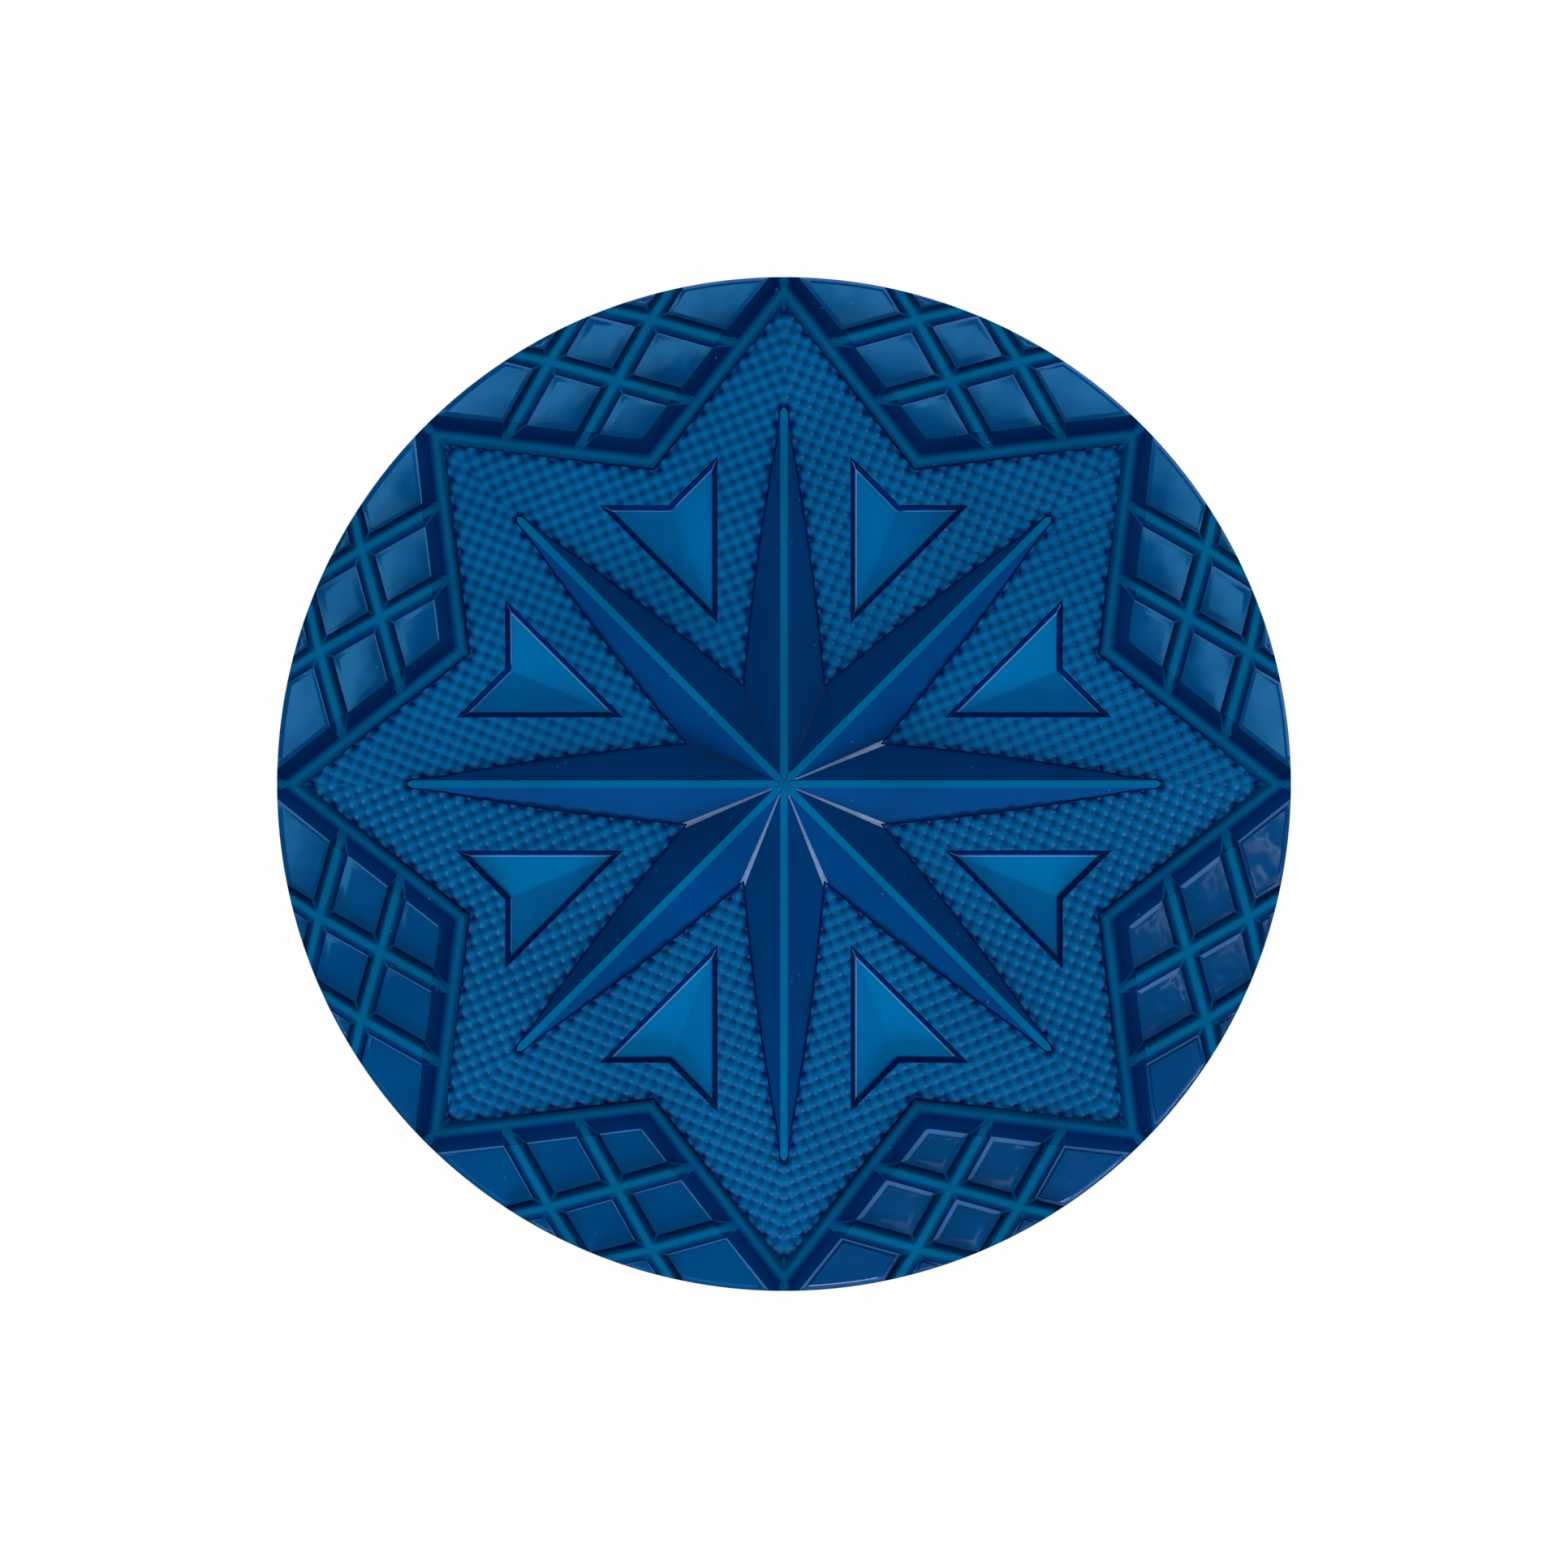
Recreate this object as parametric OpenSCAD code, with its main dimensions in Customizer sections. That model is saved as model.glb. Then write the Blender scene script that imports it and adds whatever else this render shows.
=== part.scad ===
// Blue glass star medallion, hung on a wall by a ring behind it.
// Inlays of glass are bonded to a round plate: a ridged star, its beaded field, arrowheads,
// a zigzag border, and a lattice with panes in each corner.
// The origin is the point where the ring hangs on its nail. The face looks along -Y and +Z is up.

/* [Medallion] */
// Diameter of the round back plate
disc_d = 150; // [135:1:165]
// Thickness of the back plate
plate_t = 3; // [2:0.5:6]
// Gap at the joint between neighbouring inlays
inlay_gap = 0.1; // [0.05:0.05:0.2]

/* [Star border] */
// Distance from the rim in to the border's outer corners, at the middle of its top
border_margin = 2; // [1.5:0.1:3]
// Distance from the rim in to the border's inner corners, at the middle of its top
corner_depth = 23.4; // [21:0.2:26]
// Width of the border's flat top
border_top_w = 1.1; // [0.8:0.1:1.4]
// Run of the slope from the border's top out to the panes
border_outer_run = 2.4; // [1.8:0.1:2.8]
// Run of the slope from the border's top in to the field
border_inner_run = 1; // [0.6:0.1:1.4]
// Height of the border and the lattice ribs above the back plate
rib_h = 3.4; // [2.8:0.1:4.5]

/* [Corner lattice] */
// Distance between rib crossings along a corner's middle line
lattice_pitch = 12.7; // [12:0.1:13.4]
// Angle of the ribs from a corner's middle line
lattice_angle = 52; // [50:0.5:54]
// Width of a rib's flat top
rib_top_w = 1; // [0.8:0.1:1.4]
// Run of the slope on each side of a rib
rib_run = 1; // [0.8:0.1:1.2]
// Thickness of the panes
pane_t = 2; // [1.4:0.1:2.4]

/* [Star field] */
// Thickness of the field under its beads
field_t = 2.4; // [2:0.1:2.7]

/* [Star rays] */
// Distance from the rays' tips out to the border's outer corners
ray_tip_gap = 17.4; // [15:0.2:20]
// Radius of the valleys between rays
ray_valley_r = 15.4; // [14:0.2:17]
// How far a ray's side bulges out at its middle
ray_belly = 0.6; // [0:0.1:0.9]
// Rise of the star's middle above the field
ray_rise = 4.5; // [3.5:0.1:6]
// Width of the flat line along each ray
spine_w = 1.1; // [0.8:0.1:1.6]

/* [Arrowheads] */
// Distance from the notch in an arrowhead's outer side out to the border's inner corner
arrow_border_gap = 7.4; // [6.4:0.2:8.4]
// Length of an arrowhead from its inner point to its notch
arrow_len = 18; // [16:0.2:20]
// Half of the width across an arrowhead's wings
arrow_half_w = 9; // [8.4:0.1:9.2]
// Width of the sloped wall inside an arrowhead's edge
arrow_wall = 1; // [0.7:0.1:1.2]
// Depth of the wall below the field
arrow_wall_drop = 0.9; // [0.5:0.1:1]
// Further depth of the floor at the notch
arrow_floor_drop = 0.7; // [0.4:0.1:0.9]

/* [Hanger] */
// Diameter of the ring's wire
wire_d = 1.6; // [1.2:0.1:2.4]
// Width of the ring between the middles of its two arms
ring_w = 18; // [16:0.5:22]
// Length of the ring's straight arms
ring_arm = 6; // [5:0.5:9]
// Lean of the ring towards the back plate at rest
ring_lean = 2; // [1:0.5:3]
// Distance of the ring's axis below the top of the rim
ring_axis_inset = 30; // [26:1:35]
// Width of the strap and its loop
strap_w = 11; // [8:0.5:12]
// Length of the strap plate below the ring's axis
strap_len = 11; // [9:0.5:12]
// Thickness of the strap
strap_t = 0.6; // [0.5:0.1:0.8]
// Running clearance of the wire in the strap's loop
wire_clear = 0.05; // [0.03:0.01:0.1]
// Thickness of the bonded pad under the strap
pad_t = 0.5; // [0.3:0.1:1]
// Margin of the pad around the strap plate
pad_margin = 1; // [0.5:0.5:1.5]

/* [Wall bumpers] */
// Diameter of a bumper on the plate
bumper_d = 10; // [8:0.5:14]
// Diameter of a bumper at the wall
bumper_face_d = 8; // [6:0.5:8]
// Height of a bumper
bumper_h = 4.5; // [4.2:0.1:7]
// Distance from the rim in to the middles of the bumpers
bumper_inset = 15; // [11:1:21]

/* [Hidden] */
$fn = 96;
points = 8;
step = 360 / points;
half_step = step / 2;
ribs_per_side = 2;
belly_segments = 8;
over = 1;
disc_r = disc_d / 2;
plate_top = plate_t;
reach = disc_d;

// Radii of the border's corners, the rays' tips and the arrowheads, each set in from the rim
border_tip_r = disc_r - border_margin;
border_notch_r = disc_r - corner_depth;
ray_tip_r = border_tip_r - ray_tip_gap;
arrow_notch_r = border_notch_r - arrow_border_gap;
arrow_point_r = arrow_notch_r - arrow_len;
ring_axis_y = disc_r - ring_axis_inset;
bumper_r = disc_r - bumper_inset;

// Distance of the border's middle line from the middle of the medallion.
// A border line moved outwards by some distance is the same star, scaled.
border_chord = norm([border_tip_r - border_notch_r * cos(half_step), border_notch_r * sin(half_step)]);
border_line_d = border_tip_r * border_notch_r * sin(half_step) / border_chord;
border_out = border_top_w / 2;
border_base_out = border_out + border_outer_run;
border_in = -border_top_w / 2;
border_base_in = border_in - border_inner_run;
rib_base_w = rib_top_w + 2 * rib_run;

// A valley's place, the distance of a ray's side from the middle of the star,
// and the slopes of a ray along its spine and down to its side
valley_x = ray_valley_r * sin(half_step);
valley_y = ray_valley_r * cos(half_step);
ray_side_d = valley_x * ray_tip_r / norm([valley_x, ray_tip_r - valley_y]);
spine_slope = ray_rise / ray_tip_r;
side_slope = ray_rise * (1 - valley_y / ray_tip_r) / valley_x;

// Corners of an arrowhead, with its middle line along +Y
arrow_wing_y = arrow_point_r + arrow_half_w / tan(half_step);
notch_angle = atan2(arrow_wing_y - arrow_notch_r, arrow_half_w);
wing_half_angle = (90 - half_step - notch_angle) / 2;
floor_shift = arrow_wall / sin(wing_half_angle);
floor_point_y = arrow_point_r + arrow_wall / sin(half_step);
floor_notch_y = arrow_notch_r - arrow_wall / cos(notch_angle);
floor_wing = [arrow_half_w - floor_shift * sin(half_step + wing_half_angle),
              arrow_wing_y - floor_shift * cos(half_step + wing_half_angle)];
arrow_rim_z = field_t - arrow_wall_drop;

// The ring's axis, counted from the back of the plate, and the nail's place on the ring
wire_r = wire_d / 2;
loop_r = wire_r + wire_clear + strap_t;
ring_axis_z = -pad_t - loop_r;
ring_reach = ring_arm + ring_w / 2 - wire_r;
nail_y = ring_axis_y + ring_reach * cos(ring_lean);
nail_z = ring_axis_z + ring_reach * sin(ring_lean);
pad_corner_r = 1.5;

glass_blue = [0.00, 0.22, 0.45];
glass_teal = [0.00, 0.33, 0.51];
glass_navy = [0.00, 0.14, 0.37];

// Scale that moves the border's line outwards by a distance
function border_scale(out) = 1 + out / border_line_d;

// Point at radius r, at an angle measured clockwise from the top
function clock(r, angle) = [r * sin(angle), r * cos(angle)];

// Star outline with corners at two radii
function star_points(tip_r, notch_r) =
    [for (i = [0:points - 1], half = [0, 1])
        clock(half == 0 ? tip_r : notch_r, i * step + half * half_step)];

// Point on a ray's side, from the valley at 0 to the tip at 1
function ray_side(t, valley, side) =
    let (tip = [0, ray_tip_r],
         along = (tip - valley) / norm(tip - valley),
         out = [along[1], -along[0]],
         p = valley + t * (tip - valley) + ray_belly * 4 * t * (1 - t) * out)
    [side * p[0], p[1]];

// Outline of the whole star, grown by a gap
function star_opening(gap) =
    let (valley = [valley_x, valley_y],
         n = belly_segments)
    [for (i = [0:points - 1])
        for (q = concat([for (j = [0:n]) ray_side(j / n, valley, -1)],
                        [for (j = [n - 1:-1:1]) ray_side(j / n, valley, 1)]))
            let (c = cos(i * step), s = sin(i * step))
            [q[0] * c + q[1] * s, q[1] * c - q[0] * s] * (1 + gap / ray_side_d)];

// Outline of one ray inside its joints, with its spine along +Y
function ray_outline(gap) =
    let (shift = gap / 2,
         valley = [valley_x - shift * cos(half_step), valley_y + shift * sin(half_step)],
         n = belly_segments)
    concat([[0, shift / sin(half_step)]],
           [for (j = [0:n]) ray_side(j / n, valley, 1)],
           [for (j = [n - 1:-1:0]) ray_side(j / n, valley, -1)]);

// Outline of an arrowhead, grown by a gap
function arrow_outline(gap) =
    let (grow = gap / sin(wing_half_angle),
         wing_x = arrow_half_w + grow * sin(half_step + wing_half_angle),
         wing_y = arrow_wing_y + grow * cos(half_step + wing_half_angle))
    [[0, arrow_point_r - gap / sin(half_step)],
     [wing_x, wing_y],
     [0, arrow_notch_r + gap / cos(notch_angle)],
     [-wing_x, wing_y]];

// Sets what is drawn flat, face up around the medallion's middle, into the hung position
module hung() {
    rotate([90, 0, 0])
        translate([0, -nail_y, -nail_z])
            children();
}

// Turns a piece clockwise to its place: rays on whole steps, arrowheads and corners between them
module at_ray(i) {
    rotate([0, 0, -(i - 1) * step])
        children();
}

module at_corner(i) {
    rotate([0, 0, -(i - 1) * step - half_step])
        children();
}

// Star of the border's shape, with its line moved outwards by a distance
module border_star(out) {
    k = border_scale(out);
    polygon(star_points(border_tip_r * k, border_notch_r * k));
}

// Solid between two border stars at two heights
module border_taper(out_low, out_high, h) {
    linear_extrude(height = h, scale = border_scale(out_high) / border_scale(out_low))
        border_star(out_low);
}

// Straight rib along Y with a flat top and sloped sides
module rib(len) {
    rotate([90, 0, 0])
        linear_extrude(height = len, center = true)
            polygon([[-rib_base_w / 2, 0], [rib_base_w / 2, 0], [rib_base_w / 2, pane_t],
                     [rib_top_w / 2, rib_h], [-rib_top_w / 2, rib_h], [-rib_base_w / 2, pane_t]]);
}

// Puts something on each rib line of one corner, with the corner's middle line along +Y
module on_rib_lines() {
    for (k = [1:ribs_per_side], side = [-1, 1])
        translate([0, border_notch_r + k * lattice_pitch, 0])
            rotate([0, 0, side * lattice_angle])
                children();
}

// One corner's share of the medallion, with its middle line along +Y
module corner_wedge() {
    polygon([[0, 0], clock(reach, -half_step), clock(reach, half_step)]);
}

// One corner's area outside the border, out to the rim
module corner_area(gap) {
    difference() {
        intersection() {
            circle(r = disc_r);
            corner_wedge();
        }
        rotate([0, 0, half_step])
            border_star(border_base_out + gap);
    }
}

module rounded_plate(w, h, r) {
    square([w - 2 * r, h], center = true);
    square([w, h - 2 * r], center = true);
    for (x = [-1, 1], y = [-1, 1])
        translate([x * (w / 2 - r), y * (h / 2 - r)])
            circle(r = r);
}

module back_plate() {
    color(glass_teal)
        hung()
            cylinder(r = disc_r, h = plate_t);
}

module star_field() {
    color(glass_blue)
        hung()
            translate([0, 0, plate_top])
                linear_extrude(height = field_t)
                    difference() {
                        border_star(border_base_in - inlay_gap);
                        polygon(star_opening(inlay_gap));
                        for (i = [1:points])
                            at_corner(i)
                                polygon(arrow_outline(inlay_gap));
                    }
}

// Border with the rib ends that cross its outer slope, before the field's opening is cut
module border_blank() {
    linear_extrude(height = pane_t)
        border_star(border_base_out);
    translate([0, 0, pane_t])
        border_taper(border_base_out, border_out, rib_h - pane_t);
    intersection() {
        linear_extrude(height = rib_h)
            border_star(border_base_out);
        union() {
            for (i = [1:points]) {
                at_corner(i)
                    intersection() {
                        linear_extrude(height = rib_h)
                            corner_wedge();
                        union() {
                            on_rib_lines()
                                rib(reach);
                        }
                    }
                at_ray(i)
                    translate([0, (border_tip_r + reach) / 2, 0])
                        rib(reach - border_tip_r);
            }
        }
    }
}

module star_border() {
    run_per_h = border_inner_run / (rib_h - field_t);
    color(glass_teal)
        hung()
            translate([0, 0, plate_top])
                intersection() {
                    cylinder(r = disc_r, h = rib_h);
                    difference() {
                        border_blank();
                        translate([0, 0, -over])
                            linear_extrude(height = field_t + 2 * over)
                                border_star(border_base_in);
                        translate([0, 0, field_t])
                            border_taper(border_base_in, border_in + over * run_per_h, rib_h - field_t + over);
                    }
                }
}

// Roof of a ray: a flat spine that falls to the tip, and two sides
module ray_roof() {
    slope_angle = atan(spine_slope);
    fall = side_slope * cos(slope_angle);
    spine_drop = fall * spine_w / 2;
    edge_drop = fall * ray_valley_r;
    translate([0, 0, field_t + ray_rise])
        rotate([90 - slope_angle, 0, 0])
            linear_extrude(height = 4 * reach, center = true)
                polygon([[-spine_w / 2, -spine_drop], [spine_w / 2, -spine_drop],
                         [ray_valley_r, -edge_drop], [ray_valley_r, -reach],
                         [-ray_valley_r, -reach], [-ray_valley_r, -edge_drop]]);
}

module star_ray(i) {
    color(glass_navy)
        hung()
            translate([0, 0, plate_top])
                at_ray(i)
                    intersection() {
                        linear_extrude(height = field_t + ray_rise + over)
                            polygon(ray_outline(inlay_gap));
                        ray_roof();
                    }
}

// Arrowhead with sloped walls and a floor of two facets that fall to the notch
module arrow_inset(i) {
    rim = arrow_outline(0);
    base = [for (p = rim) [p[0], p[1], 0]];
    top = [for (p = rim) [p[0], p[1], field_t]];
    floor_corners = [[0, floor_point_y, arrow_rim_z],
                     [floor_wing[0], floor_wing[1], arrow_rim_z],
                     [0, floor_notch_y, arrow_rim_z - arrow_floor_drop],
                     [-floor_wing[0], floor_wing[1], arrow_rim_z]];
    sides = [for (a = [0:3], b = [(a + 1) % 4], f = [[a, b, b + 4], [a, b + 4, a + 4]]) f];
    walls = [for (a = [0:3], b = [(a + 1) % 4], f = [[a + 4, b + 4, b + 8], [a + 4, b + 8, a + 8]]) f];
    color(glass_blue)
        hung()
            translate([0, 0, plate_top])
                at_corner(i)
                    polyhedron(points = concat(base, top, floor_corners),
                               faces = concat([[0, 2, 1], [0, 3, 2], [8, 9, 10], [8, 10, 11]], sides, walls));
}

module corner_lattice(i) {
    color(glass_teal)
        hung()
            translate([0, 0, plate_top])
                at_corner(i)
                    intersection() {
                        linear_extrude(height = rib_h)
                            corner_area(inlay_gap);
                        union() {
                            on_rib_lines()
                                rib(reach);
                        }
                    }
}

module corner_panes(i) {
    color(glass_blue)
        hung()
            translate([0, 0, plate_top])
                at_corner(i)
                    linear_extrude(height = pane_t)
                        difference() {
                            corner_area(inlay_gap);
                            on_rib_lines()
                                square([rib_base_w + 2 * inlay_gap, 2 * reach], center = true);
                        }
}

module hanger_pad() {
    w = strap_w + 2 * pad_margin;
    h = strap_len + 2 * pad_margin;
    color("white")
        hung()
            translate([0, ring_axis_y - strap_len / 2, -pad_t])
                linear_extrude(height = pad_t)
                    rounded_plate(w, h, pad_corner_r);
}

// Strap plate that runs into a rolled loop around the ring's bar
module hanger_strap() {
    color("silver")
        hung()
            translate([0, ring_axis_y, 0])
                difference() {
                    union() {
                        translate([-strap_w / 2, -strap_len, -pad_t - strap_t])
                            cube([strap_w, strap_len, strap_t]);
                        translate([0, 0, ring_axis_z])
                            rotate([0, 90, 0])
                                cylinder(r = loop_r, h = strap_w, center = true);
                    }
                    translate([0, 0, ring_axis_z])
                        rotate([0, 90, 0])
                            cylinder(r = wire_r + wire_clear, h = strap_w + 2 * over, center = true);
                }
}

module hanger_ring() {
    color("silver")
        hung()
            translate([0, ring_axis_y, ring_axis_z])
                rotate([ring_lean, 0, 0]) {
                    rotate([0, 90, 0])
                        cylinder(r = wire_r, h = ring_w, center = true);
                    for (side = [-1, 1])
                        translate([side * ring_w / 2, 0, 0]) {
                            sphere(r = wire_r);
                            rotate([-90, 0, 0])
                                cylinder(r = wire_r, h = ring_arm);
                        }
                    translate([0, ring_arm, 0])
                        rotate_extrude(angle = 180)
                            translate([ring_w / 2, 0])
                                circle(r = wire_r);
                }
}

module wall_bumpers() {
    color("gainsboro")
        hung()
            for (i = [0:3])
                rotate([0, 0, 45 + i * 90])
                    translate([bumper_r, 0, -bumper_h])
                        cylinder(d1 = bumper_face_d, d2 = bumper_d, h = bumper_h);
}

back_plate();
star_field();
star_border();
for (i = [1:points]) star_ray(i);
for (i = [1:points]) arrow_inset(i);
for (i = [1:points]) corner_lattice(i);
for (i = [1:points]) corner_panes(i);
hanger_pad();
hanger_strap();
hanger_ring();
wall_bumpers();
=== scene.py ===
import math

import bmesh
import bpy
from mathutils import Matrix, Vector
from mathutils.bvhtree import BVHTree


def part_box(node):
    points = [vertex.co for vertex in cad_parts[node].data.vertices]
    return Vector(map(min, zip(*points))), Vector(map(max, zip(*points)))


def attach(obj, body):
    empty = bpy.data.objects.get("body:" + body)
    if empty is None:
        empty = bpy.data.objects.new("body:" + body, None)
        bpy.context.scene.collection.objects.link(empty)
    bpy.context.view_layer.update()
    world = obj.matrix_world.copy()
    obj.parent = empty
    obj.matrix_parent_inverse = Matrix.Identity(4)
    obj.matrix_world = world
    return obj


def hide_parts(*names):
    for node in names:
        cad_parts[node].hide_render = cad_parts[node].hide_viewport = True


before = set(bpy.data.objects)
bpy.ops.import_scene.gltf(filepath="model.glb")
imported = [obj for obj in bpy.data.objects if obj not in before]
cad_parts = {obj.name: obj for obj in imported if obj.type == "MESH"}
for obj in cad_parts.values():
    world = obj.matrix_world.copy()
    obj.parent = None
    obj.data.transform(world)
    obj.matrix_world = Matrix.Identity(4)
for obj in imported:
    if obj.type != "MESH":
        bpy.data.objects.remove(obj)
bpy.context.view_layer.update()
print("frame loaded:", len(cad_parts), "nodes")

mm = 0.001
points = 8
stepAngle = 2 * math.pi / points
towardsViewer = Vector((0, -1, 0))

# Places on the medallion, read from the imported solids
borderLow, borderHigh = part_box("star_border")
middleX = (borderLow.x + borderHigh.x) / 2
middleZ = (borderLow.z + borderHigh.z) / 2
rimRadius = (borderHigh.x - borderLow.x) / 2
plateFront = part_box("back_plate")[0].y
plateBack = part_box("back_plate")[1].y
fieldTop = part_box("star_field")[0].y
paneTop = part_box("corner_panes_1")[0].y
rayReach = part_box("star_ray_1")[1].z - middleZ
middle = Vector((middleX, 0, middleZ))


def standUp(depth):
    # Drawn flat with x right, y up and z out of the face, then set upright at a depth
    return Matrix(((1, 0, 0, middleX), (0, 0, -1, depth), (0, 1, 0, middleZ), (0, 0, 0, 1)))


def outward(angle):
    # Direction in the face at an angle clockwise from the top
    return Vector((math.sin(angle), 0, math.cos(angle)))


# Mesh tools
mesher = {"merge": 0.001 * mm, "flatAngle": math.radians(0.5), "softAngle": math.radians(9),
          "creaseAngle": math.radians(38), "upright": 0.02, "sameWay": 0.99, "faceWeight": 80,
          "rimBand": 0.2 * mm, "rimDraft": 0.12, "rimRound": 0.08 * mm, "rimSegments": 2,
          "foot": 0.3 * mm, "touch": 0.06 * mm}


def copyNode(node):
    bm = bmesh.new()
    bm.from_mesh(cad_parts[node].data)
    bmesh.ops.remove_doubles(bm, verts=bm.verts, dist=mesher["merge"])
    bmesh.ops.dissolve_limit(bm, angle_limit=mesher["flatAngle"], use_dissolve_boundaries=False,
                             verts=bm.verts, edges=bm.edges, delimit=set())
    return bm


def fromMiddle(point):
    return math.hypot(point.x - middleX, point.z - middleZ)


def isUpright(face):
    return abs(face.normal.y) < mesher["upright"]


def onRim(vert):
    return fromMiddle(vert.co) > rimRadius - mesher["rimBand"]


def isJoint(face):
    # Upright walls inside the rim, where one inlay butts against the next
    return isUpright(face) and not all(map(onRim, face.verts))


def softEdges(bm, keep=None):
    found = [e for e in bm.edges if e.is_manifold and e.calc_face_angle() > mesher["softAngle"]]
    return [e for e in found if keep is None or keep(e)]


def isRaised(edge):
    return all(v.co.y < plateFront - mesher["foot"] for v in edge.verts)


def inFront(edge):
    # Edges of the relief itself, not the tops of joints or of the rim
    return isRaised(edge) and not any(map(isUpright, edge.link_faces))


def atRim(edge):
    return isRaised(edge) and all(map(onRim, edge.verts)) and not all(map(isUpright, edge.link_faces))


def roundEdges(bm, edges, width, segments):
    bmesh.ops.bevel(bm, geom=edges, offset=width, offset_type="OFFSET", segments=segments, profile=0.5,
                    affect="EDGES", material=-1, clamp_overlap=True, loop_slide=True)


def setRadius(vert, radius):
    share = radius / fromMiddle(vert.co)
    vert.co.x = middleX + (vert.co.x - middleX) * share
    vert.co.z = middleZ + (vert.co.z - middleZ) * share


def spreadWalls(faces, distance, keep=None):
    # Move upright walls out along their normals, corners along both walls, and keep the rim round
    ways = {}
    for face in faces:
        for vert in face.verts:
            found = ways.setdefault(vert, [])
            isNew = all(way.dot(face.normal) < mesher["sameWay"] for way in found)
            if isNew and (keep is None or keep(vert)):
                found.append(face.normal.copy())
    for vert, found in ways.items():
        rimmed = onRim(vert)
        step = sum(found, Vector())
        if len(found) == 2:
            step /= 1 + found[0].dot(found[1])
        vert.co += step * distance
        if rimmed:
            setRadius(vert, rimRadius)


def draftRim(bm):
    # The moulded edge leans in a little towards the front
    for vert in bm.verts:
        if onRim(vert) and vert.co.y < plateFront:
            setRadius(vert, rimRadius - mesher["rimDraft"] * (plateFront - vert.co.y))


def finishRim(bm):
    draftRim(bm)
    roundEdges(bm, softEdges(bm, atRim), mesher["rimRound"], mesher["rimSegments"])


def inFixedOrder(bm):
    # Some operators give their points or faces in another order each run, so the shape is built again
    spots = sorted(bm.verts, key=lambda v: v.co[:])
    rank = {vert: k for k, vert in enumerate(spots)}
    rings = []
    for face in bm.faces:
        ring = [rank[v] for v in face.verts]
        first = ring.index(min(ring))
        rings.append((ring[first:] + ring[:first], face.material_index))
    made = bmesh.new()
    corners = [made.verts.new(v.co) for v in spots]
    for ring, material in sorted(rings):
        made.faces.new([corners[k] for k in ring]).material_index = material
    bm.free()
    made.normal_update()
    return made


def makePiece(bm, name, materials, body, nodes, crease=mesher["creaseAngle"]):
    bmesh.ops.dissolve_degenerate(bm, dist=mesher["merge"], edges=bm.edges)
    bm.normal_update()
    for edge in bm.edges:
        edge.smooth = not edge.is_manifold or edge.calc_face_angle() < crease
    mesh = bpy.data.meshes.new(name)
    bm.to_mesh(mesh)
    bm.free()
    for polygon in mesh.polygons:
        polygon.use_smooth = True
    piece = bpy.data.objects.new(name, mesh)
    bpy.context.scene.collection.objects.link(piece)
    for material in materials:
        mesh.materials.append(material)
    weighted = piece.modifiers.new("faceWeighted", "WEIGHTED_NORMAL")
    weighted.weight = mesher["faceWeight"]
    weighted.keep_sharp = True
    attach(piece, body)
    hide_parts(*nodes)
    return piece


# Shader tools
shading = {"flatFacing": 0.995, "frontFacing": (0.16, 0.26), "noiseBand": (0.3, 0.7), "cloudScale": 70,
           "cloudDetail": 2.5, "speckEdge": (0.05, 0.2), "waveDetail": 2, "waveHeight": 0.4 * mm,
           "grainDetail": 4, "grainHeight": 0.1 * mm, "glassIor": 1.5}


def addNode(tree, kind, place, **values):
    node = tree.nodes.new(kind)
    node.location = place
    for key, value in values.items():
        setattr(node, key, value)
    return node


def setInputs(node, values):
    for name, value in values.items():
        node.inputs[name].default_value = value


def addSocket(group, name, kind, way, value=None):
    socket = group.interface.new_socket(name, in_out=way, socket_type=kind)
    if value is not None:
        socket.default_value = value
    return socket


def rgb(red, green, blue):
    # Linear colour from screen values of 0 to 255
    def linear(c):
        c /= 255
        return c / 12.92 if c <= 0.04045 else ((c + 0.055) / 1.055) ** 2.4
    return (linear(red), linear(green), linear(blue), 1)


def mixColor(tree, place, factor, first, second, blend="MIX"):
    mix = addNode(tree, "ShaderNodeMix", place, data_type="RGBA", blend_type=blend)
    for socket, source in ((mix.inputs[0], factor), (mix.inputs[6], first), (mix.inputs[7], second)):
        if isinstance(source, bpy.types.NodeSocket):
            tree.links.new(source, socket)
        else:
            socket.default_value = source
    return mix.outputs[2]


def mapRange(tree, place, value, low, high, toLow=0.0, toHigh=1.0):
    node = addNode(tree, "ShaderNodeMapRange", place, interpolation_type="SMOOTHSTEP")
    tree.links.new(value, node.inputs["Value"])
    for name, source in (("From Min", low), ("From Max", high), ("To Min", toLow), ("To Max", toHigh)):
        if isinstance(source, bpy.types.NodeSocket):
            tree.links.new(source, node.inputs[name])
        else:
            node.inputs[name].default_value = source
    return node.outputs["Result"]


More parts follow.
